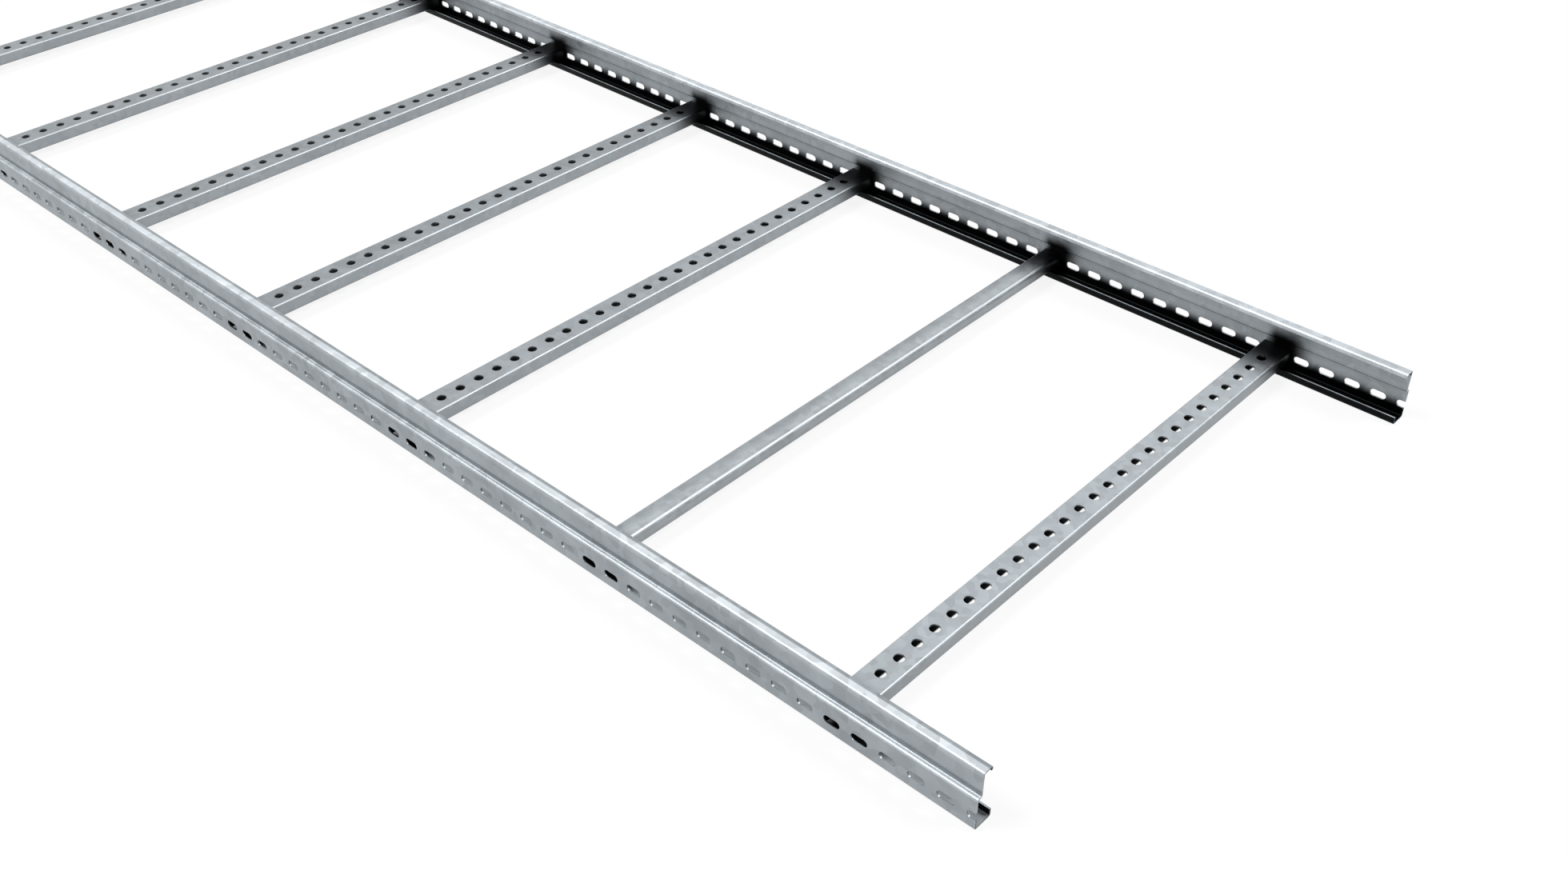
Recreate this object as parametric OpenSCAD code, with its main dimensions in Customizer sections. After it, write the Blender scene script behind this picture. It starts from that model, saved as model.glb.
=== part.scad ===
// Cable ladder section: two bent-sheet side rails joined by perforated rungs.
// Frame: X along the ladder, Y across it, Z up, origin at the bottom centre.

/* [Ladder] */
// Length of the section
ladder_l = 3000; // [1000:50:6000]
// Width over the outer faces of both side rails
ladder_w = 626; // [226:10:1026]
// Spacing of the rungs, centre to centre
rung_pitch = 250; // [200:5:400]
// Thickness of the steel sheet that rails and rungs are bent from
sheet_t = 1.5; // [1:0.1:2]
// Inside radius of the bends
bend_r = 0.9; // [0.5:0.1:1.2]

/* [Side rail] */
// Height of the side rail
rail_h = 52; // [45:1:100]
// Height of the ledge where the web steps inwards
ledge_z = 30; // [24:0.5:36]
// How far the upper web stands in from the lower web
ledge_step = 4.2; // [3.9:0.1:8]
// Width of the top flange, measured from the upper web's outer face
top_flange_w = 10.5; // [8:0.5:20]
// Depth of the lip that turns down from the top flange
top_lip_h = 4.2; // [3:0.1:8]
// Width of the bottom flange, measured from the lower web's outer face
bottom_flange_w = 17.5; // [12:0.5:30]
// Height of the lip that turns up from the bottom flange
bottom_lip_h = 7.5; // [4:0.1:9]

/* [Rail slots] */
// Length of a slot along the rail
slot_l = 15; // [9:0.5:18]
// Width of a slot
slot_w = 7; // [5:0.1:8]
// Spacing of the slots along the rail
slot_pitch = 25; // [20:1:50]
// Height of the slots above the rail's bottom
slot_z = 13; // [12:0.5:16]

/* [Perforated rung] */
// Width of a perforated rung
rung_w = 28.5; // [22:0.1:40]
// Height of every rung
rung_h = 14; // [12:0.5:20]
// Width of each lip under a perforated rung
rung_lip_w = 8; // [5:0.1:9]
// Diameter of the holes in a perforated rung
rung_hole_d = 9; // [4:0.1:10]
// Spacing of the holes along a perforated rung
rung_hole_pitch = 20.8; // [15:0.1:40]
// Least distance from the end of a perforated rung to the middle of its last hole
rung_hole_margin = 20; // [10:1:60]

/* [Plain rung] */
// Width of a plain rung
plain_rung_w = 21.4; // [12:0.1:30]
// Outside corner radius of a plain rung
plain_rung_r = 4.5; // [2.2:0.1:5]
// How many perforated rungs there are between a plain rung and the ladder's end
outer_rung_count = 1; // [0:1:2]

/* [Hidden] */
$fn = 48;
// Straight steps in each bend
bend_steps = 5;
// Extra depth of a cut, so that it leaves no skin
cut_extra = 1;
// Height of a rung's underside: it rests on the lips of the bottom flanges
rung_z = bottom_lip_h;
// A rung's ends butt against the lower webs
rung_l = ladder_w - 2 * sheet_t;
rung_count = floor(ladder_l / rung_pitch);
// Slots on each side of the middle one
slot_reach = floor(ladder_l / 2 / slot_pitch);
// Holes are in pairs about the middle of a rung
rung_hole_pairs = floor((rung_l / 2 - rung_hole_margin) / rung_hole_pitch + 0.5);

// Rungs are counted from the ladder's +X end
near_plain = outer_rung_count + 1;
far_plain = rung_count - outer_rung_count;
perforated_rungs = [for (i = [1:rung_count]) if (i != near_plain && i != far_plain) i];

function rung_x(i) = ((rung_count + 1) / 2 - i) * rung_pitch;
function rung_name(k) = str("rung_", k < 10 ? "0" : "", k);

// ---- Bent sheet: a strip of constant thickness along a path with rounded corners ----

function unit(v) = v / norm(v);
function left_of(v) = [-v[1], v[0]];
function cross2(a, b) = a[0] * b[1] - a[1] * b[0];

// Stations [point, left normal] round the corner at p, for a middle line of radius r
function bend_stations(before, p, after, r) =
    let (
        u = unit(p - before),
        v = unit(after - p),
        side = sign(cross2(u, v)),
        turn = acos(u * v),
        start = p - u * r * tan(turn / 2),
        centre = start + side * left_of(u) * r
    )
    [for (k = [0:bend_steps])
        let (
            a = side * turn * k / bend_steps,
            n = [
                left_of(u)[0] * cos(a) - left_of(u)[1] * sin(a),
                left_of(u)[0] * sin(a) + left_of(u)[1] * cos(a)
            ]
        )
        [centre - side * n * r, n]];

// Outline of a strip whose middle line runs through the given corners
function strip_outline(corners, t, r) =
    let (
        last = len(corners) - 1,
        stations = concat(
            [[corners[0], left_of(unit(corners[1] - corners[0]))]],
            [for (i = [1:last - 1])
                each bend_stations(corners[i - 1], corners[i], corners[i + 1], r)],
            [[corners[last], left_of(unit(corners[last] - corners[last - 1]))]]
        ),
        count = len(stations)
    )
    concat(
        [for (s = stations) s[0] + s[1] * t / 2],
        [for (k = [1:count]) stations[count - k][0] - stations[count - k][1] * t / 2]
    );

module bent_strip(corners) {
    polygon(strip_outline(corners, sheet_t, bend_r + sheet_t / 2));
}

function rounded_box_outline(w, h, r) =
    [for (c = [[1, 1, 0], [-1, 1, 90], [-1, -1, 180], [1, -1, 270]])
        for (k = [0:bend_steps])
            let (a = c[2] + 90 * k / bend_steps)
            [c[0] * (w / 2 - r) + r * cos(a), c[1] * (h / 2 - r) + r * sin(a)]];

// ---- Side rail ----

// Middle line of the rail's sheet, seen along X: u runs inwards from the outer face, v runs up
function rail_corners() =
    let (half = sheet_t / 2)
    [
        [bottom_flange_w - half, bottom_lip_h],
        [bottom_flange_w - half, half],
        [half, half],
        [half, ledge_z - half],
        [ledge_step + half, ledge_z - half],
        [ledge_step + half, rail_h - half],
        [ledge_step + top_flange_w - half, rail_h - half],
        [ledge_step + top_flange_w - half, rail_h - top_lip_h]
    ];

// A round-ended slot through the lower web, its middle at x
module rail_slot(x) {
    depth = sheet_t + 2 * cut_extra;
    end_x = (slot_l - slot_w) / 2;
    translate([x, -cut_extra, slot_z])
        rotate([-90, 0, 0]) {
            translate([-end_x, -slot_w / 2, 0])
                cube([2 * end_x, slot_w, depth]);
            for (s = [-1, 1])
                translate([s * end_x, 0, 0])
                    cylinder(h = depth, d = slot_w);
        }
}

// A rail with its outer face at y = 0, reaching inwards along +Y
module rail() {
    difference() {
        translate([-ladder_l / 2, 0, 0])
            rotate([90, 0, 90])
                linear_extrude(height = ladder_l)
                    bent_strip(rail_corners());
        for (k = [-slot_reach:slot_reach])
            rail_slot(k * slot_pitch);
    }
}

module side_rail_left() {
    color("lightsteelblue")
        translate([0, -ladder_w / 2, 0])
            rail();
}

module side_rail_right() {
    color("lightsteelblue")
        mirror([0, 1, 0])
            translate([0, -ladder_w / 2, 0])
                rail();
}

// ---- Rungs ----

// Middle line of a perforated rung's sheet, an inverted channel with lips
function rung_corners() =
    let (
        half = sheet_t / 2,
        side_x = rung_w / 2 - half,
        lip_x = rung_w / 2 - rung_lip_w
    )
    [
        [-lip_x, half],
        [-side_x, half],
        [-side_x, rung_h - half],
        [side_x, rung_h - half],
        [side_x, half],
        [lip_x, half]
    ];

// Extrudes a section, drawn in X and Z, from rail to rail
module across() {
    translate([0, rung_l / 2, rung_z])
        rotate([90, 0, 0])
            linear_extrude(height = rung_l)
                children();
}

module perforated_rung() {
    color("lightgray")
        difference() {
            across()
                bent_strip(rung_corners());
            for (k = [1:rung_hole_pairs])
                for (s = [-1, 1])
                    translate([0, s * (k - 0.5) * rung_hole_pitch, rung_z + rung_h - sheet_t - cut_extra])
                        cylinder(h = sheet_t + 2 * cut_extra, d = rung_hole_d);
        }
}

module plain_rung() {
    color("silver")
        across()
            translate([0, rung_h / 2])
                difference() {
                    polygon(rounded_box_outline(plain_rung_w, rung_h, plain_rung_r));
                    polygon(rounded_box_outline(
                        plain_rung_w - 2 * sheet_t, rung_h - 2 * sheet_t, plain_rung_r - sheet_t));
                }
}

// Puts a rung at its place, counted from the +X end
module at_rung(i) {
    translate([rung_x(i), 0, 0])
        children();
}

side_rail_left();
side_rail_right();
at_rung(near_plain) plain_rung();  // plain_rung_near
at_rung(far_plain) plain_rung();  // plain_rung_far
for (k = [1:len(perforated_rungs)])
    at_rung(perforated_rungs[k - 1]) perforated_rung();
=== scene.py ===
# %% [markdown]
# # A cable ladder in galvanized steel
#
# A cable ladder carries heavy cables through a building. Two side rails, folded from steel sheet, are joined
# by rungs, and every piece is dipped in zinc. This lesson dresses the ladder's fixed model: it folds the
# sheet again with clean bends, punches the slots and holes with Geometry Nodes, and builds the zinc from
# shader groups. Everything is in metres, in the frame of the fixed model: X runs along the ladder, Y across.

# %% Load the fixed model
import math
from functools import reduce

import bmesh
import bpy
from mathutils import Matrix, Vector


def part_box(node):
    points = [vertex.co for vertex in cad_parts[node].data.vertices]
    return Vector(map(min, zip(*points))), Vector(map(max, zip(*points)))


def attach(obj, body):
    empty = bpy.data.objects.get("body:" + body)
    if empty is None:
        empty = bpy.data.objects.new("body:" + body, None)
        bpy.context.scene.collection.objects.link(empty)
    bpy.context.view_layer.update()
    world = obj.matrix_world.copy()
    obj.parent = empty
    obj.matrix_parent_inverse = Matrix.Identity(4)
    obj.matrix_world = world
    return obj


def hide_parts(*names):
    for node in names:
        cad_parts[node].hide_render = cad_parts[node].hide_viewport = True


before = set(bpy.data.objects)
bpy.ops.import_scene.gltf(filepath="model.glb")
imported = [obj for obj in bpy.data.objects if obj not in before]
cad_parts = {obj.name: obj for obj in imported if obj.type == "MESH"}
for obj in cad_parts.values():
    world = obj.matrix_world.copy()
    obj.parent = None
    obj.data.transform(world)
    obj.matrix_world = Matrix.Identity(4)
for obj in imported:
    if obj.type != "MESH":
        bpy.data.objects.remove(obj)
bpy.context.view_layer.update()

# %% [markdown]
# ## Driving sizes
#
# The pieces take their places from the fixed model's own boxes. Only what a box can't tell, such as the
# thickness of the sheet or the size of a slot, is written here as a number. A designer would keep these
# in one list, so that each is changed in one place.

# %% Sizes from the fixed model, and sizes of the folded sheet
MM = 0.001

rail_low, rail_high = (Vector(corner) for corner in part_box("side_rail_left"))
ladder_l = rail_high.x - rail_low.x
ladder_w = -2 * rail_low.y
rail_h = rail_high.z
bottom_flange_w = rail_high.y - rail_low.y

RUNG_NODES = sorted(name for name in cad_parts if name.startswith("rung_"))
PLAIN_NODES = ["plain_rung_near", "plain_rung_far"]
rung_low, rung_high = (Vector(corner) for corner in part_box(RUNG_NODES[0]))
rung_w = rung_high.x - rung_low.x
rung_l = rung_high.y - rung_low.y
rung_z = rung_low.z
rung_h = rung_high.z - rung_low.z
rung_pitch = 2 * (rail_high.x - (rung_low.x + rung_high.x) / 2)
plain_low, plain_high = (Vector(corner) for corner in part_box(PLAIN_NODES[0]))
plain_w = plain_high.x - plain_low.x

SHEET_T = 1.5 * MM
BEND_R = 1.65 * MM  # radius of a bend at the middle of the sheet
BEND_STEPS = 6

LEDGE_Z = 30 * MM
LEDGE_STEP = 4.2 * MM
TOP_FLANGE_W = 10.5 * MM
TOP_LIP_H = 4.2 * MM
BOTTOM_LIP_H = 7.5 * MM

SLOT_L = 15 * MM
SLOT_W = 7 * MM
SLOT_PITCH = 25 * MM
SLOT_Z = 13 * MM

RUNG_LIP_W = 8 * MM
HOLE_D = 9 * MM
HOLE_PITCH = 20.8 * MM
HOLE_MARGIN = 20 * MM
PLAIN_RUNG_R = 4.5 * MM

print(f"ladder {ladder_l:.3f} x {ladder_w:.3f} x {rail_h:.3f} m, rungs every {rung_pitch:.3f} m")

# %% [markdown]
# ## The camera
#
# The ladder is seen from above one end, with its far end running out of the picture. The camera is placed
# from the ladder's near left corner, and it looks down without any tilt to the side. A lens of 37 mm is
# close to what the eye takes in.

# %% Place the camera at the near end
CAMERA_FROM_CORNER = Vector((0.3773, -0.5987, 0.848))
CAMERA_FORWARD = Vector((-0.538, 0.589, -0.603))
CAMERA_LENS = 37.2

scene = bpy.context.scene
corner = Vector((rail_high.x, rail_low.y, 0))
camera_data = bpy.data.cameras.new("camera")
camera_data.lens = CAMERA_LENS
camera_data.clip_start = 0.01
camera = bpy.data.objects.new("camera", camera_data)
camera.location = corner + CAMERA_FROM_CORNER
camera.rotation_euler = CAMERA_FORWARD.to_track_quat("-Z", "Y").to_euler()
scene.collection.objects.link(camera)
scene.camera = camera
print("camera at", [round(v, 3) for v in camera.location])

# %% [markdown]
# ## Folding a sheet on paper
#
# A folded profile is drawn best as the middle line of its sheet: a few straight runs with a small arc at
# every fold. The arc at a corner touches both runs at the same distance from the corner, the radius times
# the tangent of half the turn. Corners without a turn are kept as plain points.


# %% Round the corners of a path
def folded_path(corners, radius=BEND_R, steps=BEND_STEPS):
    """The corners of an open path, each fold replaced by an arc of the given radius."""
    points = [Vector(corners[0])]
    for before, here, after in zip(corners, corners[1:], corners[2:]):
        before, here, after = Vector(before), Vector(here), Vector(after)
        into = (here - before).normalized()
        out = (after - here).normalized()
        turn = into.angle_signed(out)
        if abs(turn) < 1e-4:
            points.append(here)
            continue
        # angle_signed counts clockwise turns as positive
        side = Vector((-into.y, into.x)) * (-1 if turn > 0 else 1)
        start = here - into * radius * math.tan(abs(turn) / 2)
        centre = start + side * radius
        for k in range(steps + 1):
            spoke = Matrix.Rotation(-turn * k / steps, 2) @ -side
            points.append(centre + spoke * radius)
    points.append(Vector(corners[-1]))
    return points


HOLE_PANEL = 1.15  # a hole is punched in a panel this many times as wide as itself

half = SHEET_T / 2
panel_half = HOLE_PANEL * SLOT_W / 2
rail_path = folded_path([
    (bottom_flange_w - half, BOTTOM_LIP_H),
    (bottom_flange_w - half, half),
    (half, half),
    (half, SLOT_Z - panel_half),
    (half, SLOT_Z + panel_half),
    (half, LEDGE_Z - half),
    (LEDGE_STEP + half, LEDGE_Z - half),
    (LEDGE_STEP + half, rail_h - half),
    (LEDGE_STEP + TOP_FLANGE_W - half, rail_h - half),
    (LEDGE_STEP + TOP_FLANGE_W - half, rail_h - TOP_LIP_H),
])
print("rail path:", len(rail_path), "points")

# %% [markdown]
# ## Punching with cells
#
# A press punches a rail one slot at a time, at an even pitch, before it is folded. The same can be done
# with geometry: one cell of sheet, from the middle of a slot to the middle of the next, is drawn once, and a
# row of cells makes the rail. A boolean cut would work too, but cells leave few and even faces, and a row
# that starts in the middle of a slot gets its half slots at both ends for free.


# %% One cell of folded sheet
HOLE_STEPS = 12
SAME_SPOT = 0.1 * MM
SAME_POINT = 0.01 * MM


def half_hole(length, width):
    """One side of a round-ended hole, as (along, across) points."""
    straight, radius = (length - width) / 2, width / 2
    turns = [math.pi * k / HOLE_STEPS for k in range(HOLE_STEPS + 1)]
    arc = [(straight + radius * math.sin(a), -radius * math.cos(a)) for a in turns]
    return [(0, -radius), *arc, (0, radius)] if straight > 0 else arc


def cell_mesh(name, path, hole_at, pitch, hole_l, hole_w, place):
    """Sheet from the middle of one hole to the middle of the next; place puts (along, section) in space."""
    build = bmesh.new()
    for low, high in zip(path, path[1:]):
        ends = [[(0, low), (0, high)], [(pitch, low), (pitch, high)]]
        middle = (low + high) / 2
        if (middle - hole_at).length < SAME_SPOT:
            across = (high - low).normalized()
            rim = [(s, middle + across * v) for s, v in half_hole(hole_l, hole_w)]
            ends[0][1:1] = rim
            ends[1][1:1] = [(pitch - s, point) for s, point in rim]
        build.faces.new([build.verts.new(place(s, point)) for s, point in ends[1] + ends[0][::-1]])
    bmesh.ops.remove_doubles(build, verts=build.verts, dist=SAME_POINT)
    bmesh.ops.recalc_face_normals(build, faces=build.faces)
    mesh = bpy.data.meshes.new(name)
    build.to_mesh(mesh)
    build.free()
    print(f"{name}: {len(mesh.polygons)} faces")
    return mesh


# %% [markdown]
# ## A tree that repeats a cell
#
# One Geometry Nodes tree serves every punched piece. It sets the cell on a line of points and makes the
# copies real. Then it fits the row to length: whatever lies beyond the box Keep is moved out or in to the box
# End, which turns the half holes past the last whole one into plain sheet. At last it joins the seams. With
# its sizes as named inputs, the same tree makes a rail of slots and a rung of holes.


# %% The tree's named inputs
def tree_input(tree, name, kind):
    """A named input on a node tree, returned by its identifier."""
    return tree.interface.new_socket(name, in_out="INPUT", socket_type=kind).identifier


row_tree = bpy.data.node_groups.new("row_of_cells", "GeometryNodeTree")
ROW_INPUTS = {
    name: tree_input(row_tree, name, kind)
    for name, kind in [
        ("Cell", "NodeSocketGeometry"),
        ("Count", "NodeSocketInt"),
        ("Start", "NodeSocketVector"),
        ("Step", "NodeSocketVector"),
        ("Keep", "NodeSocketVector"),
        ("End", "NodeSocketVector"),
        ("Material", "NodeSocketMaterial"),
    ]
}
row_tree.interface.new_socket("Piece", in_out="OUTPUT", socket_type="NodeSocketGeometry")
print("row tree inputs:", ", ".join(ROW_INPUTS))


# %% Copy the cell along a line
def link_chain(tree, *nodes):
    """Joins each node's first output to the next node's first input."""
    for before, after in zip(nodes, nodes[1:]):
        tree.links.new(before.outputs[0], after.inputs[0])


row_in = row_tree.nodes.new("NodeGroupInput")
points = row_tree.nodes.new("GeometryNodeMeshLine")
instances = row_tree.nodes.new("GeometryNodeInstanceOnPoints")
realize = row_tree.nodes.new("GeometryNodeRealizeInstances")
fit = row_tree.nodes.new("GeometryNodeSetPosition")
merge = row_tree.nodes.new("GeometryNodeMergeByDistance")
paint = row_tree.nodes.new("GeometryNodeSetMaterial")
row_out = row_tree.nodes.new("NodeGroupOutput")

row_tree.links.new(row_in.outputs["Count"], points.inputs["Count"])
row_tree.links.new(row_in.outputs["Start"], points.inputs["Start Location"])
row_tree.links.new(row_in.outputs["Step"], points.inputs["Offset"])
row_tree.links.new(row_in.outputs["Cell"], instances.inputs["Instance"])
row_tree.links.new(row_in.outputs["Material"], paint.inputs["Material"])
link_chain(row_tree, points, instances, realize, fit, merge, paint, row_out)
merge.inputs["Distance"].default_value = 2 * SAME_POINT
print("row tree so far:", len(row_tree.nodes), "nodes")


# %% Fit the row to its length
def vector_calc(operation, *values):
    """The result of a Vector Math node in the row tree."""
    node = row_tree.nodes.new("ShaderNodeVectorMath")
    node.operation = operation
    for socket, value in zip(node.inputs, values):
        row_tree.links.new(value, socket)
    return node.outputs[0]


# Beyond is 0 inside Keep and 1 outside: rounding up turns any overshoot, always under a metre, into 1
position = row_tree.nodes.new("GeometryNodeInputPosition").outputs[0]
reach = vector_calc("ABSOLUTE", position)
overshoot = vector_calc("SUBTRACT", reach, row_in.outputs["Keep"])
beyond = vector_calc("CEIL", vector_calc("MAXIMUM", overshoot))
to_end = vector_calc("SUBTRACT", row_in.outputs["End"], reach)
fitted = vector_calc("MULTIPLY_ADD", beyond, to_end, reach)
row_tree.links.new(
    vector_calc("MULTIPLY", vector_calc("SIGN", position), fitted), fit.inputs["Position"])
print("row tree:", len(row_tree.nodes), "nodes")

# %% [markdown]
# ## Zinc, part one: the skin
#
# Hot zinc freezes on steel in flat crystals a few millimetres to a few centimetres across, the spangle. Each
# crystal reflects a little more or less than its neighbours, and slow clouds run over them where the dip
# drained. A shader group holds both, so that rails and rungs can share it with their own values. Its sums are
# Math nodes, and a few helpers write them in the way that a sum is written on paper. A helper finds the tree
# that it works in from the sockets that it is given.


# %% Sums as Math nodes
def owner(*values):
    """The node tree of the first socket among some values."""
    return next(value.id_data for value in values if isinstance(value, bpy.types.NodeSocket))


def feed(socket, value):
    """Links a socket to another one, or sets its value."""
    if isinstance(value, bpy.types.NodeSocket):
        socket.id_data.links.new(value, socket)
    else:
        socket.default_value = value


def calc(operation, *values):
    """The result of a Math node."""
    node = owner(*values).nodes.new("ShaderNodeMath")
    node.operation = operation
    for socket, value in zip(node.inputs, values):
        feed(socket, value)
    return node.outputs[0]


def product(*values):
    """All the values multiplied with each other."""
    return reduce(lambda a, b: calc("MULTIPLY", a, b), values)


# %% Start a shader group
def shader_group(name, inputs, outputs):
    """A group of float inputs, with their defaults, and float outputs; also its sockets inside."""
    tree = bpy.data.node_groups.new(name, "ShaderNodeTree")
    for label, value in inputs.items():
        socket = tree.interface.new_socket(label, in_out="INPUT", socket_type="NodeSocketFloat")
        socket.default_value = value
    for label in outputs:
        tree.interface.new_socket(label, in_out="OUTPUT", socket_type="NodeSocketFloat")
    print(f"{name}: {len(inputs)} inputs, {len(outputs)} outputs")
    return tree, tree.nodes.new("NodeGroupInput").outputs, tree.nodes.new("NodeGroupOutput").inputs


def object_xyz(tree):
    """Object coordinates, whole and as three sockets."""
    where = tree.nodes.new("ShaderNodeTexCoord").outputs["Object"]
    split = tree.nodes.new("ShaderNodeSeparateXYZ")
    tree.links.new(where, split.inputs[0])
    return (where, *split.outputs)


skin_tree, skin_in, skin_out = shader_group(
    "zinc_skin",
    {
        "Spangle size": 9 * MM,
        "Spangle strength": 0.1,
        "Cloud size": 60 * MM,
        "Cloud strength": 0.1,
        "Grain size": 1.5 * MM,
        "Roughness strength": 0.12,
        "Crystal height": 0.5,
    },
    ["Shade", "Roughness shift", "Height"],
)

# %% Spangle, clouds and grain
where, *_ = object_xyz(skin_tree)
crystals = skin_tree.nodes.new("ShaderNodeTexVoronoi")
clouds = skin_tree.nodes.new("ShaderNodeTexNoise")
grain = skin_tree.nodes.new("ShaderNodeTexNoise")
for texture, size in ((crystals, "Spangle size"), (clouds, "Cloud size"), (grain, "Grain size")):
    feed(texture.inputs["Vector"], where)
    feed(texture.inputs["Scale"], calc("DIVIDE", 1.0, skin_in[size]))
clouds.inputs["Detail"].default_value = 3
grain.inputs["Detail"].default_value = 2

# Each crystal's own random grey, one of the channels of its colour
crystal_grey = skin_tree.nodes.new("ShaderNodeSeparateColor")
skin_tree.links.new(crystals.outputs["Color"], crystal_grey.inputs[0])
spangle = calc("SUBTRACT", crystal_grey.outputs[0], 0.5)
cloud = calc("SUBTRACT", clouds.outputs["Fac"], 0.5)

spangled = product(spangle, skin_in["Spangle strength"])
clouded = product(cloud, skin_in["Cloud strength"])
feed(skin_out["Shade"], calc("ADD", 1.0, calc("ADD", spangled, clouded)))
feed(skin_out["Roughness shift"], product(spangle, skin_in["Roughness strength"]))
feed(skin_out["Height"], calc("ADD", product(spangle, skin_in["Crystal height"]), grain.outputs["Fac"]))
print("zinc skin:", len(skin_tree.nodes), "nodes")

# %% [markdown]
# ## Zinc, part two: painted shade and painted highlights
#
# Light hardly reaches the folded channel along the foot of a rail, or the corner where a rung meets the web,
# so shade is painted into the colour there. Highlights are painted across the flanges and over the bends. Two
# groups work out both from where a point lies on its piece: Light falls to 0 where shade is painted, and the
# second output rises to 1 where a highlight is painted. The rail's group comes first, and starts with the
# side of the sheet that a point is on.


# %% Where a point lies on a rail
def opposite(value):
    """Swaps 0 and 1."""
    return calc("SUBTRACT", 1.0, value)


def between(value, low, high):
    """1 where low < value < high, with hard edges."""
    return product(calc("GREATER_THAN", value, low), calc("LESS_THAN", value, high))


rail_tree, rail_in, rail_out = shader_group(
    "rail_painted_light",
    {
        "Width": ladder_w,
        "Rung pitch": rung_pitch,
        "Channel floor": 8 * MM,
        "Channel top": 18 * MM,
        "Left floor light": 0.8,
        "Joint shade top": 39 * MM,
        "Joint shade end": 38 * MM,
        "Left joint shade extra": 16 * MM,
        "Crease shade depth": 0.5,
        "Slot edge shade depth": 0.45,
        "Under flange shade depth": 0.85,
        "Left lip shade depth": 0.3,
        "Highlight strip": 2.6 * MM,
        "Left strip extra": 3.8 * MM,
        "Right flange highlight": 0.35,
        "Ledge highlight": 0.5,
        "Right web highlight": 0.4,
    },
    ["Light", "Painted highlight"],
)
_, x, y, z = object_xyz(rail_tree)
on_left = calc("LESS_THAN", y, 0.0)
on_right = opposite(on_left)
depth = calc("SUBTRACT", product(rail_in["Width"], 0.5), calc("ABSOLUTE", y))
above_ledge = calc("GREATER_THAN", z, LEDGE_Z - SHEET_T / 2)
outer_face = calc("MULTIPLY_ADD", above_ledge, LEDGE_STEP, SHEET_T / 2)
inside = product(calc("GREATER_THAN", depth, outer_face), calc("GREATER_THAN", z, SHEET_T / 2))
outside = opposite(inside)
print("rail group so far:", len(rail_tree.nodes), "nodes")

# %% [markdown]
# Shade is painted in the channel, darker towards its floor, but not on the lip's top edge, and less on the
# left rail's floor. Shade is painted around each joint's rung too, reaching further towards the near end,
# most of all on the left rail.


# %% Painted shade in the channel and at the joints
def largest(*values):
    """The largest of the values."""
    return reduce(lambda a, b: calc("MAXIMUM", a, b), values)


def fade(value, start, end):
    """Rises smoothly from 0 where value is at start to 1 where it is at end."""
    node = value.id_data.nodes.new("ShaderNodeMapRange")
    node.interpolation_type = "SMOOTHSTEP"
    feed(node.inputs["Value"], value)
    feed(node.inputs["From Min"], start)
    feed(node.inputs["From Max"], end)
    return node.outputs["Result"]


def from_rung(x, pitch):
    """The distance along the ladder from the nearest rung's middle, which is half a pitch off the origin."""
    half_pitch = product(pitch, 0.5)
    return calc("WRAP", calc("ADD", half_pitch, x), half_pitch, product(pitch, -0.5))


def facing_up(tree):
    """The upward part of the surface's direction."""
    split = tree.nodes.new("ShaderNodeSeparateXYZ")
    tree.links.new(tree.nodes.new("ShaderNodeTexCoord").outputs["Normal"], split.inputs[0])
    return split.outputs[2]


JOINT_START = -14 * MM
JOINT_FULL = -2 * MM
JOINT_END_FADE = 24 * MM
JOINT_TOP_FADE = 8 * MM

faces_up = calc("GREATER_THAN", facing_up(rail_tree), 0.5)
on_lip = calc("GREATER_THAN", z, BOTTOM_LIP_H - MM)
spared = product(faces_up, largest(on_lip, product(on_left, rail_in["Left floor light"])))
# Painted shade in the channel, darker towards its floor, spared on the lip's top edge and partly on the left
# floor
channel_shade = product(fade(z, rail_in["Channel top"], rail_in["Channel floor"]), opposite(spared))

beside = from_rung(x, rail_in["Rung pitch"])
joint_end = calc("MULTIPLY_ADD", on_left, rail_in["Left joint shade extra"], rail_in["Joint shade end"])
# Painted shade around each joint's rung
joint_shade = product(
    fade(beside, JOINT_START, JOINT_FULL),
    fade(beside, joint_end, calc("SUBTRACT", joint_end, JOINT_END_FADE)),
    fade(z, calc("ADD", rail_in["Joint shade top"], JOINT_TOP_FADE),
         calc("SUBTRACT", rail_in["Joint shade top"], JOINT_TOP_FADE)))
dark_inside = product(inside, largest(channel_shade, joint_shade))
print("rail group so far:", len(rail_tree.nodes), "nodes")

# %% [markdown]
# Shade is painted in a line along the foot of the upper web, just above the ledge. Shade is painted on the
# cut edges of the slots too, and under the top flange, where no light comes in.

# %% Painted shade above the ledge, on the cut edges and under the flange
SHADE_LINE_Z = LEDGE_Z + 3.2 * MM
SHADE_LINE_REACH = 3.1 * MM
SHADE_LINE_CORE = 0.8 * MM
FACE_MARGIN = 0.1 * MM
SLOT_BAND = 0.6 * SLOT_W

# Painted shade in a line above the ledge
from_shade_line = calc("ABSOLUTE", calc("SUBTRACT", z, SHADE_LINE_Z))
crease_shade = product(outside, above_ledge, fade(from_shade_line, SHADE_LINE_REACH, SHADE_LINE_CORE), rail_in["Crease shade depth"])
# Painted shade on the slots' cut edges and under the top flange
in_slot = product(
    between(depth, FACE_MARGIN, SHEET_T - FACE_MARGIN), between(z, SLOT_Z - SLOT_BAND, SLOT_Z + SLOT_BAND))
under_flange = product(
    inside, calc("LESS_THAN", depth, LEDGE_STEP + TOP_FLANGE_W - SHEET_T / 2),
    between(z, rail_h - TOP_LIP_H - MM, rail_h - SHEET_T / 2))
slot_and_flange_shade = largest(
    product(in_slot, rail_in["Slot edge shade depth"]), product(under_flange, rail_in["Under flange shade depth"]))
print("rail group so far:", len(rail_tree.nodes), "nodes")
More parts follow.
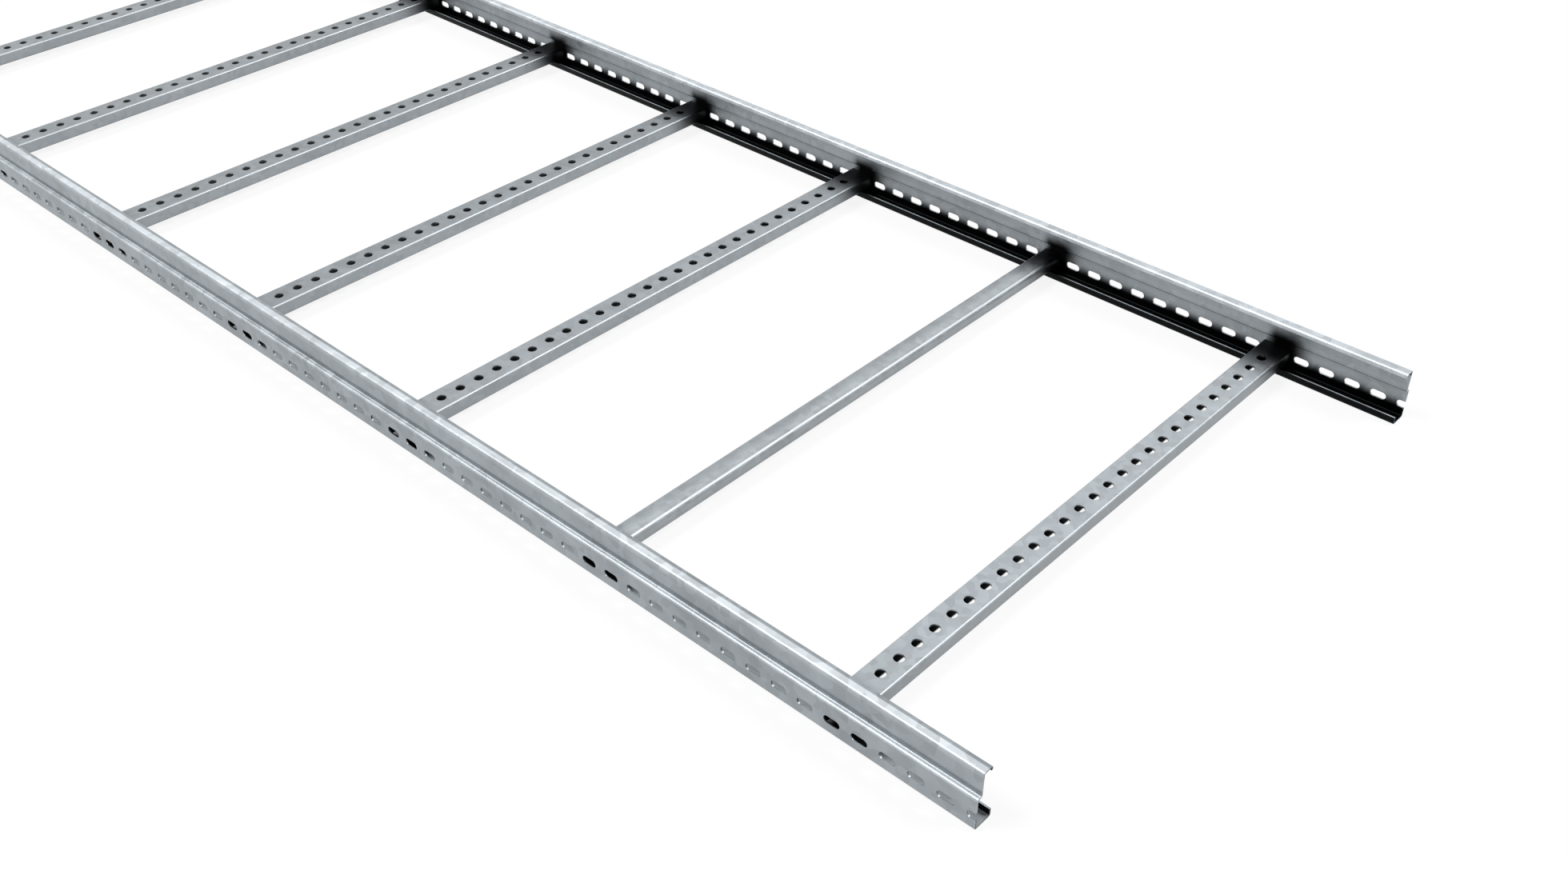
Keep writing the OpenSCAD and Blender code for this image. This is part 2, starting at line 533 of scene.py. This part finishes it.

# %% [markdown]
# A highlight is painted in a strip along one long edge of each top flange, a little weaker on the bend
# itself, and a weaker one over the rest of the right rail's flange. Shade is painted towards the left rail's
# lip.


# %% Painted highlight and shade on the top flanges, and the rail's Light
def remap(value, low, high):
    """Takes a value from 0..1 to low..high."""
    node = value.id_data.nodes.new("ShaderNodeMapRange")
    feed(node.inputs["Value"], value)
    feed(node.inputs["To Min"], low)
    feed(node.inputs["To Max"], high)
    return node.outputs["Result"]


STRIP_FADE = 0.6 * MM
BEND_HIGHLIGHT = 0.4
BEND_START = 0.5 * MM
BEND_END = 2.2 * MM

on_flange = calc("GREATER_THAN", z, rail_h - TOP_LIP_H)
from_middle = calc("SUBTRACT", depth, LEDGE_STEP + TOP_FLANGE_W / 2)
left_sign = calc("MULTIPLY_ADD", on_left, 2.0, -1.0)
across_flange = calc("MULTIPLY_ADD", from_middle, left_sign, TOP_FLANGE_W / 2)
strip = calc("MULTIPLY_ADD", on_left, rail_in["Left strip extra"], rail_in["Highlight strip"])
# Painted highlight in a strip along one edge of each top flange
highlight_strip = fade(across_flange, calc("ADD", strip, STRIP_FADE), calc("SUBTRACT", strip, STRIP_FADE))
# Painted shade on the left flange away from the strip
lip_shade = product(on_flange, on_left, opposite(highlight_strip), rail_in["Left lip shade depth"])
feed(rail_out["Light"], opposite(largest(dark_inside, slot_and_flange_shade, crease_shade, lip_shade)))

# Painted highlight, weaker on the left bend, and spread thinly over the right flange
bend_highlight_share = remap(fade(across_flange, BEND_START, BEND_END), BEND_HIGHLIGHT, 1.0)
flange_highlight = product(
    on_flange, largest(highlight_strip, product(on_right, rail_in["Right flange highlight"])),
    largest(bend_highlight_share, on_right))
print("rail group so far:", len(rail_tree.nodes), "nodes")

# %% [markdown]
# A highlight is painted on the ledge, which faces the light like a shelf, on the outside of both rails. On
# the right rail a highlight is painted on the inner face of the web too, above the channel, except in a line
# by the ledge.

# %% Painted highlights on the ledge and the web, and the rail's second output
LEDGE_LOW = LEDGE_Z - 2 * MM
LEDGE_HIGH = LEDGE_Z + 0.5 * MM
LEDGE_LINE = 1 * MM
LEDGE_LINE_FADE = 2.5 * MM
WEB_HIGHLIGHT_START = 14 * MM
WEB_HIGHLIGHT_FULL = 19 * MM

# Painted highlight on the ledge
ledge_highlight = product(
    outside, between(z, LEDGE_LOW, LEDGE_HIGH), calc("LESS_THAN", depth, LEDGE_STEP), rail_in["Ledge highlight"])
from_ledge = calc("ABSOLUTE", calc("SUBTRACT", z, LEDGE_HIGH))
# Painted highlight on the right rail's inner web
web_highlight = product(
    inside, on_right, fade(z, WEB_HIGHLIGHT_START, WEB_HIGHLIGHT_FULL),
    fade(from_ledge, LEDGE_LINE, LEDGE_LINE + LEDGE_LINE_FADE), rail_in["Right web highlight"])
feed(rail_out["Painted highlight"], largest(flange_highlight, ledge_highlight, web_highlight))
print("rail group:", len(rail_tree.nodes), "nodes")

# %% [markdown]
# Shade is painted on a rung's ends, where it meets the webs. Shade is painted in the hollow of a perforated
# rung, and on the walls of its holes a little below the top. The underside of its lips is plain zinc again.

# %% The rung's group: painted shade at the ends and in the hollow
rung_tree, rung_in, rung_out = shader_group(
    "rung_painted_light",
    {
        "Half width": ladder_w / 2,
        "Rung pitch": rung_pitch,
        "Top": rung_z + rung_h,
        "Left shade reach": 45 * MM,
        "Right shade reach": 75 * MM,
        "Inner light": 0.1,
        "Far top light": 0.68,
        "Near side light": 0.84,
        "Plain rung light": 0.82,
        "Edge highlight": 0.25,
        "Plain rung highlight": 0.75,
    },
    ["Light", "Painted highlight"],
)
RIGHT_DARK = 16 * MM
LEFT_DARK = 10 * MM
HOLE_WALL_LIT = 0.5 * MM
HOLE_WALL_DARK = 1.7 * MM

_, x, y, z = object_xyz(rung_tree)
# Painted shade at the rung's ends, by the webs
ends = largest(
    fade(calc("SUBTRACT", rung_in["Half width"], y), rung_in["Right shade reach"], RIGHT_DARK),
    fade(calc("ADD", rung_in["Half width"], y), rung_in["Left shade reach"], LEFT_DARK))

plain_x = (plain_low.x + plain_high.x) / 2
on_plain = between(calc("ABSOLUTE", x), plain_x - rung_w, plain_x + rung_w)
beside = from_rung(x, rung_in["Rung pitch"])
under_top = calc("SUBTRACT", rung_in["Top"], z)
# Painted shade in the hollow and on the lower walls of the holes
hollow = product(
    opposite(on_plain), calc("LESS_THAN", calc("ABSOLUTE", beside), rung_w / 2 - SHEET_T / 2),
    calc("LESS_THAN", under_top, rung_h - SHEET_T / 2), fade(under_top, HOLE_WALL_LIT, HOLE_WALL_DARK))
hollow_light = remap(hollow, 1.0, rung_in["Inner light"])
print("rung group so far:", len(rung_tree.nodes), "nodes")

# %% [markdown]
# Rung by rung, shade is painted on the tops, more towards the far end, and on the sides, more towards the
# near end. A highlight is painted about the long edge on the near side. On a plain rung the painted highlight
# is a narrow band, with painted shade on both sides of it.

# %% Painted shade on the faces of the rungs
FLAT_TOP = 0.96
UPRIGHT = 0.3
TOPS_SHADE_OVER = 1.0
SIDES_SHADE_FROM = 0.9
SIDES_SHADE_TO = 0.1

up = facing_up(rung_tree)
from_near_end = calc("SUBTRACT", ladder_l / 2, x)
# Painted shade: tops darker towards the far end, sides darker towards the near end
shaded_top = product(calc("GREATER_THAN", up, FLAT_TOP), fade(from_near_end, 0.0, TOPS_SHADE_OVER))
shaded_side = product(calc("LESS_THAN", up, UPRIGHT), fade(from_near_end, SIDES_SHADE_FROM, SIDES_SHADE_TO))
face_light = product(
    remap(shaded_top, 1.0, rung_in["Far top light"]), remap(shaded_side, 1.0, rung_in["Near side light"]))
print("rung group so far:", len(rung_tree.nodes), "nodes")


# %% The rungs' long edges, and their painted light and painted highlights
def distance(across, up):
    """The length of a two-dimensional step."""
    return calc("SQRT", calc("ADD", product(across, across), product(up, up)))


HIGHLIGHT_FULL = 5 * MM
HIGHLIGHT_END = 12 * MM
BAND_LOW = 5.5 * MM
BAND_HIGH = 7 * MM
BAND_LOW_FADE = 3 * MM
BAND_HIGH_FADE = 10 * MM

half_w = calc("MULTIPLY_ADD", on_plain, (plain_w - rung_w) / 2, rung_w / 2)
to_edge = distance(calc("SUBTRACT", half_w, beside), under_top)
# Painted shade on both sides of the plain rung's band
plain_shade = largest(
    fade(to_edge, BAND_HIGH, BAND_HIGH + BAND_HIGH_FADE), fade(to_edge, BAND_LOW, BAND_LOW - BAND_LOW_FADE))
plain_light = remap(product(on_plain, plain_shade), 1.0, rung_in["Plain rung light"])
feed(rung_out["Light"], product(hollow_light, face_light, plain_light, opposite(ends)))

# Painted highlight along the near long edge, strongest on the plain rungs
edge_highlight_share = largest(product(on_plain, rung_in["Plain rung highlight"]), rung_in["Edge highlight"])
feed(rung_out["Painted highlight"], product(fade(to_edge, HIGHLIGHT_END, HIGHLIGHT_FULL), edge_highlight_share))
print("rung group:", len(rung_tree.nodes), "nodes")

# %% [markdown]
# ## Zinc, part three: the finished metal
#
# Galvanized steel is a dull metal: much of the light comes back scattered by the zinc's grey oxide, and only
# a part as a soft reflection. A half metallic surface of middling roughness gives that. The colour takes the
# groups' painted shade and painted highlights. Where shade is painted, the surface turns fully metallic with
# a black base, because bare plastic gloss would grey the painted shade.

# %% Make a zinc material
ZINC_ROUGHNESS = 0.42
ZINC_METALLIC = 0.4
BUMP_STRENGTH = 0.15
BUMP_DEPTH = 0.1 * MM


def zinc(name, dull, highlight_colour, skin_values, painted_light_tree, painted_shade_depth):
    """A zinc finish: its own dull colour, the colour of its painted highlights, the skin's values, and the
    group that paints its light and shade.
    """
    material = bpy.data.materials.new(name)
    material.use_nodes = True
    tree = material.node_tree
    surface = tree.nodes["Principled BSDF"].inputs

    skin = tree.nodes.new("ShaderNodeGroup")
    skin.node_tree = skin_tree
    for label, value in skin_values.items():
        skin.inputs[label].default_value = value
    corner = tree.nodes.new("ShaderNodeGroup")
    corner.node_tree = painted_light_tree

    # Painted shade darkens the colour by the group's Light, and its second output mixes in the painted
    # highlight colour
    light = remap(corner.outputs["Light"], 1 - painted_shade_depth, 1.0)
    colour = tree.nodes.new("ShaderNodeVectorMath")
    colour.operation = "MULTIPLY_ADD"
    feed(colour.inputs[0], corner.outputs["Painted highlight"])
    feed(colour.inputs[1], Vector(highlight_colour) - Vector(dull))
    feed(colour.inputs[2], dull)
    tint = tree.nodes.new("ShaderNodeVectorMath")
    tint.operation = "SCALE"
    feed(tint.inputs[0], colour.outputs[0])
    feed(tint.inputs["Scale"], product(skin.outputs["Shade"], light))
    feed(surface["Base Color"], tint.outputs[0])
    # Where shade is painted, the surface turns metallic with a black base
    feed(surface["Metallic"], remap(light, 1.0, ZINC_METALLIC))
    feed(surface["Roughness"], calc("ADD", skin.outputs["Roughness shift"], ZINC_ROUGHNESS))

    bump = tree.nodes.new("ShaderNodeBump")
    feed(bump.inputs["Strength"], BUMP_STRENGTH)
    feed(bump.inputs["Distance"], BUMP_DEPTH)
    feed(bump.inputs["Height"], skin.outputs["Height"])
    feed(surface["Normal"], bump.outputs[0])
    return material


rail_zinc = zinc(
    "galvanized_rail",
    dull=(0.415, 0.455, 0.485),
    highlight_colour=(0.615, 0.66, 0.695),
    skin_values={
        "Spangle size": 9 * MM, "Spangle strength": 0.26, "Cloud size": 60 * MM, "Cloud strength": 0.45},
    painted_light_tree=rail_tree,
    painted_shade_depth=0.985)
rung_zinc = zinc(
    "galvanized_rung",
    dull=(0.4, 0.435, 0.462),
    highlight_colour=(0.45, 0.485, 0.51),
    skin_values={
        "Spangle size": 7 * MM, "Spangle strength": 0.18, "Cloud size": 50 * MM, "Cloud strength": 0.3},
    painted_light_tree=rung_tree,
    painted_shade_depth=0.97)
print("finishes:", rail_zinc.name, rung_zinc.name)

# %% [markdown]
# ## From tree to piece
#
# A tree's result is live until its modifier is applied. A Solidify modifier after it gives the sheet its
# thickness, half to each side, and closes the edge round every slot. Then the bends are shaded smooth, and
# weighted normals keep the wide faces flat, so a bend needs only a few steps. The finished shape is read back
# as a plain mesh, which is what rides on the fixed model.


# %% Run a tree, thicken the sheet and keep the plain mesh
SHARP = math.radians(40)


def applied(mesh, *modifiers):
    """The plain mesh that comes out of a stack of (kind, settings) modifiers on a mesh."""
    draft = bpy.data.objects.new("draft", mesh)
    scene.collection.objects.link(draft)
    for kind, settings in modifiers:
        modifier = draft.modifiers.new(kind.lower(), kind)
        for name, value in settings.items():
            # A tree's own inputs go by their identifiers, Socket_2 and so on
            if name.startswith("Socket"):
                modifier[name] = value
            else:
                setattr(modifier, name, value)
    bpy.context.view_layer.update()
    evaluated = draft.evaluated_get(bpy.context.evaluated_depsgraph_get())
    result = bpy.data.meshes.new_from_object(evaluated)
    bpy.data.objects.remove(draft)
    return result


def folded_mesh(mesh, tree, inputs, values):
    """What a tree makes, as sheet of thickness SHEET_T with smooth bends and flat faces."""
    settings = {"node_group": tree, **{inputs[label]: value for label, value in values.items()}}
    shell = applied(
        mesh,
        ("NODES", settings),
        ("SOLIDIFY", {"thickness": SHEET_T, "offset": 0, "use_even_offset": True}))
    shell.shade_smooth()
    shell.set_sharp_from_angle(angle=SHARP)
    return applied(shell, ("WEIGHTED_NORMAL", {"keep_sharp": True}))


# %% Link a piece and measure it
def add_piece(name, mesh, slot, *nodes):
    """Links a finished mesh as a piece that stands for CAD nodes."""
    mesh.name = name
    piece = bpy.data.objects.new(name, mesh)
    scene.collection.objects.link(piece)
    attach(piece, "root")
    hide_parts(*nodes)
    check = bmesh.new()
    check.from_mesh(mesh)
    open_edges = sum(not edge.is_manifold for edge in check.edges)
    volume = check.calc_volume(signed=True) / MM**3
    check.free()
    print(f"{name}: {len(mesh.polygons)} faces, {open_edges} open edges, {volume:.0f} cubic mm of steel")
    return piece


# %% [markdown]
# ## The side rails
#
# A rail is one folded sheet. From the outside it has a lower web with the slots, a small ledge, an upper web
# set in, and a flange that turns in at the top with a short lip. At the foot a second flange turns in, and
# the rungs rest on its lip. The right rail is the left one mirrored.


# %% Make both rails
slot_spot = Vector((half, SLOT_Z))
rail_cells = 2 * math.ceil(ladder_l / 2 / SLOT_PITCH)
rail_box = (ladder_l / 2, ladder_w, rail_h)  # holds every cell, so a rail's row needs no fitting

for side, sign in (("left", -1), ("right", 1)):
    edge_y = sign * ladder_w / 2
    cell = cell_mesh(
        f"{side}_rail_cell", rail_path, slot_spot, SLOT_PITCH, SLOT_L, SLOT_W,
        lambda s, point: (s, edge_y - sign * point.x, point.y))
    rail = folded_mesh(cell, row_tree, ROW_INPUTS, {
        "Count": rail_cells,
        "Start": (-rail_cells / 2 * SLOT_PITCH, 0, 0),
        "Step": (SLOT_PITCH, 0, 0),
        "Keep": rail_box,
        "End": rail_box,
        "Material": rail_zinc,
    })
    add_piece(f"{side}_rail", rail, "rail_zinc", f"side_rail_{side}")

# %% [markdown]
# ## The perforated rungs
#
# These rungs are lipped channels with the open side down, and one row of round holes for ties and cleats
# along the top. They are all alike, so the tree runs once, and each rung is a copy that is moved to its own
# node's place in the fixed model. The move is made in the mesh, so that every piece's object stays at the
# origin.

# %% Fold and punch one rung
lip_x = rung_w / 2 - RUNG_LIP_W
side_x = rung_w / 2 - half
rung_panel_half = HOLE_PANEL * HOLE_D / 2
rung_path = folded_path([
    (-lip_x, half),
    (-side_x, half),
    (-side_x, rung_h - half),
    (-rung_panel_half, rung_h - half),
    (rung_panel_half, rung_h - half),
    (side_x, rung_h - half),
    (side_x, half),
    (lip_x, half),
])
hole_spot = Vector((0, rung_h - half))
rung_cell = cell_mesh(
    "rung_cell", rung_path, hole_spot, HOLE_PITCH, HOLE_D, HOLE_D,
    lambda s, point: (point.x, s, rung_z + point.y))
rung_holes = 2 * math.floor((rung_l / 2 - HOLE_MARGIN) / HOLE_PITCH + 0.5)
rung_cells = rung_holes + 1
last_hole_end = (rung_holes - 0.1) / 2 * HOLE_PITCH  # past the last hole, short of the half hole beyond it
rung_mesh = folded_mesh(rung_cell, row_tree, ROW_INPUTS, {
    "Count": rung_cells,
    "Start": (0, -rung_cells / 2 * HOLE_PITCH, 0),
    "Step": (0, HOLE_PITCH, 0),
    "Keep": (rung_w, last_hole_end, rail_h),
    "End": (rung_w, rung_l / 2, rail_h),
    "Material": rung_zinc,
})
print(f"{rung_holes} holes at {HOLE_PITCH / MM} mm along a rung")


# %% A copy in each rung's place
def moved_copy(mesh, node):
    """A copy of a mesh, moved along the ladder to the middle of a node's box."""
    low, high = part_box(node)
    copy = mesh.copy()
    copy.transform(Matrix.Translation(((low[0] + high[0]) / 2, 0, 0)))
    return copy


for node in RUNG_NODES:
    name = node.replace("rung", "perforated_rung")
    add_piece(name, moved_copy(rung_mesh, node), "rung_zinc", node)

# %% [markdown]
# ## The plain rungs
#
# The second rung from each end is a narrower tube without holes. Its section is a rectangle with rounded
# corners, so a tree that sweeps a filleted curve along a straight line makes it.

# %% The tree of a plain rung
sweep_tree = bpy.data.node_groups.new("swept_tube", "GeometryNodeTree")
SWEEP_INPUTS = {
    name: tree_input(sweep_tree, name, kind)
    for name, kind in [
        ("Geometry", "NodeSocketGeometry"),
        ("Width", "NodeSocketFloat"),
        ("Height", "NodeSocketFloat"),
        ("Corner radius", "NodeSocketFloat"),
        ("Start", "NodeSocketVector"),
        ("End", "NodeSocketVector"),
        ("Material", "NodeSocketMaterial"),
    ]
}
sweep_tree.interface.new_socket("Piece", in_out="OUTPUT", socket_type="NodeSocketGeometry")
sweep_in = sweep_tree.nodes.new("NodeGroupInput")
line = sweep_tree.nodes.new("GeometryNodeCurvePrimitiveLine")
section = sweep_tree.nodes.new("GeometryNodeCurvePrimitiveQuadrilateral")
fillet = sweep_tree.nodes.new("GeometryNodeFilletCurve")
fillet.mode = "POLY"
sweep = sweep_tree.nodes.new("GeometryNodeCurveToMesh")
sweep_real = sweep_tree.nodes.new("GeometryNodeRealizeInstances")
sweep_paint = sweep_tree.nodes.new("GeometryNodeSetMaterial")
sweep_out = sweep_tree.nodes.new("NodeGroupOutput")
fillet.inputs["Count"].default_value = BEND_STEPS
for label, socket in [
    ("Width", section.inputs["Width"]),
    ("Height", section.inputs["Height"]),
    ("Corner radius", fillet.inputs["Radius"]),
    ("Start", line.inputs["Start"]),
    ("End", line.inputs["End"]),
    ("Material", sweep_paint.inputs["Material"]),
]:
    sweep_tree.links.new(sweep_in.outputs[label], socket)
link_chain(sweep_tree, section, fillet)
sweep_tree.links.new(fillet.outputs[0], sweep.inputs["Profile Curve"])
link_chain(sweep_tree, line, sweep, sweep_real, sweep_paint, sweep_out)
print("tube tree:", len(sweep_tree.nodes), "nodes")

# %% Sweep the plain rungs
middle_z = (plain_low.z + plain_high.z) / 2
tube_mesh = folded_mesh(bpy.data.meshes.new("nothing"), sweep_tree, SWEEP_INPUTS, {
    "Width": plain_w - SHEET_T,
    "Height": plain_high.z - plain_low.z - SHEET_T,
    "Corner radius": PLAIN_RUNG_R - half,
    "Start": (0, plain_low.y, middle_z),
    "End": (0, plain_high.y, middle_z),
    "Material": rung_zinc,
})
for node in PLAIN_NODES:
    name = node.replace("plain_rung", "plain_tube_rung")
    add_piece(name, moved_copy(tube_mesh, node), "rung_zinc", node)

# %% [markdown]
# ## Floor and light
#
# The studio is white. The floor and the world show white to the camera and to reflections, while what they
# send to the object stays at a plain level, so that the zinc keeps its own greys. The floor that is seen is a
# glow under a thin veil of paint, and the veil takes the ladder's soft shadow.


# %% The floor
def seen_directly(tree):
    """1 for camera, reflected and transmitted rays, 0 for the rest."""
    path = tree.nodes.new("ShaderNodeLightPath").outputs
    return largest(path["Is Glossy Ray"], path["Is Transmission Ray"], path["Is Camera Ray"])


def grey_shader(tree, kind, level):
    """A shader of one plain grey."""
    node = tree.nodes.new(kind)
    node.inputs["Color"].default_value = (level, level, level, 1)
    return node


def show_and_light(tree, shown, lighting, output_kind):
    """Ends a tree in one shader that is seen and another that sends light to the object."""
    choice = tree.nodes.new("ShaderNodeMixShader")
    output = tree.nodes.new(output_kind)
    feed(choice.inputs["Fac"], seen_directly(tree))
    feed(choice.inputs[1], lighting.outputs[0])
    feed(choice.inputs[2], shown.outputs[0])
    feed(output.inputs["Surface"], choice.outputs[0])


FLOOR_SIZE = 60.0
FLOOR_GAP = 0.5 * MM
FLOOR_GLOW = 0.88
FLOOR_GREY = 0.3

floor_mesh = bpy.data.meshes.new("floor")
floor_build = bmesh.new()
bmesh.ops.create_grid(floor_build, x_segments=1, y_segments=1, size=FLOOR_SIZE / 2)
floor_build.to_mesh(floor_mesh)
floor_build.free()
floor_mesh.transform(Matrix.Translation((0, 0, -FLOOR_GAP)))
floor = bpy.data.objects.new("floor", floor_mesh)
scene.collection.objects.link(floor)

floor_paint = bpy.data.materials.new("floor_paint")
floor_paint.use_nodes = True
tree = floor_paint.node_tree
tree.nodes.clear()
veil = grey_shader(tree, "ShaderNodeBsdfDiffuse", 1 - FLOOR_GLOW)
glow = grey_shader(tree, "ShaderNodeEmission", FLOOR_GLOW)
veiled_glow = tree.nodes.new("ShaderNodeAddShader")
feed(veiled_glow.inputs[0], veil.outputs[0])
feed(veiled_glow.inputs[1], glow.outputs[0])
matt = grey_shader(tree, "ShaderNodeBsdfDiffuse", FLOOR_GREY)
show_and_light(tree, veiled_glow, matt, "ShaderNodeOutputMaterial")
floor_mesh.materials.append(floor_paint)
print(f"floor: {FLOOR_SIZE:.0f} m wide, {FLOOR_GAP / MM} mm under the ladder")

# %% The world
AMBIENT = 0.2

world = bpy.data.worlds.new("studio")
world.use_nodes = True
scene.world = world
tree = world.node_tree
tree.nodes.clear()
white = grey_shader(tree, "ShaderNodeBackground", 1.0)
around = grey_shader(tree, "ShaderNodeBackground", AMBIENT)
show_and_light(tree, white, around, "ShaderNodeOutputWorld")
print("world: seen white, lights the ladder with", AMBIENT)

# %% [markdown]
# Two broad lamps stand high and cross over the ladder, one from the left rail's side and the far end, and one
# from the right rail's side and the near end. Flanges and rung tops face both, and the webs and the sides of
# the rungs stay in soft shade.


# %% Lamps, and plain colours
def add_sun(name, towards, strength, spread):
    """A broad, even lamp that shines from a direction; spread is its apparent size in degrees."""
    lamp = bpy.data.lights.new(name, "SUN")
    lamp.energy = strength
    lamp.angle = math.radians(spread)
    holder = bpy.data.objects.new(name, lamp)
    holder.rotation_euler = (-Vector(towards)).to_track_quat("-Z", "Y").to_euler()
    scene.collection.objects.link(holder)


add_sun("left_far_lamp", towards=(-0.4, -0.4, 0.82), strength=2.0, spread=24)
add_sun("right_near_lamp", towards=(0.45, 0.5, 0.74), strength=1.8, spread=24)
scene.view_settings.view_transform = "Standard"
print("lamps:", [lamp.name for lamp in bpy.data.lights])
